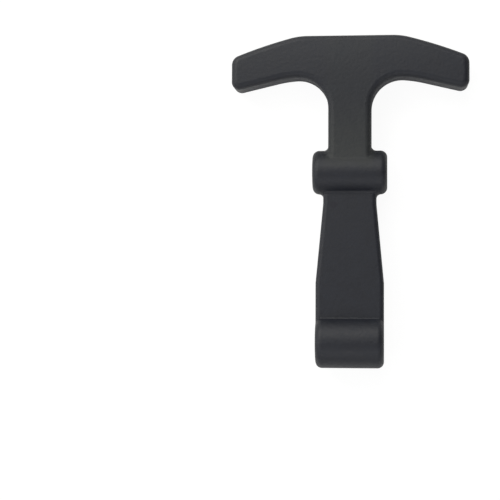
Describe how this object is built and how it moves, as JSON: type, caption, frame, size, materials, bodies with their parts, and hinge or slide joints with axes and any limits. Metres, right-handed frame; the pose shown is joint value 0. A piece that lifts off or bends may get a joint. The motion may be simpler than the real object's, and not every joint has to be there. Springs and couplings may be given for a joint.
{
  "type": "rubber t draw latch",
  "caption": "One-piece rubber draw latch with a pin eye, a tapered stretch strap, a round catch for a keeper and a T-shaped pull handle.",
  "frame": {"origin": "centre of the bounding box, in the plane that the latch rests on", "axes": "+X along the pin bore and the handle's width, +Y from the pin eye to the handle, +Z from the back to the front"},
  "size_m": [0.1026, 0.144, 0.0222],
  "materials": {
    "rubber": "matte, moulded"
  },
  "bodies": {
    "root": {"latch": "rubber"}
  },
  "joints": []
}
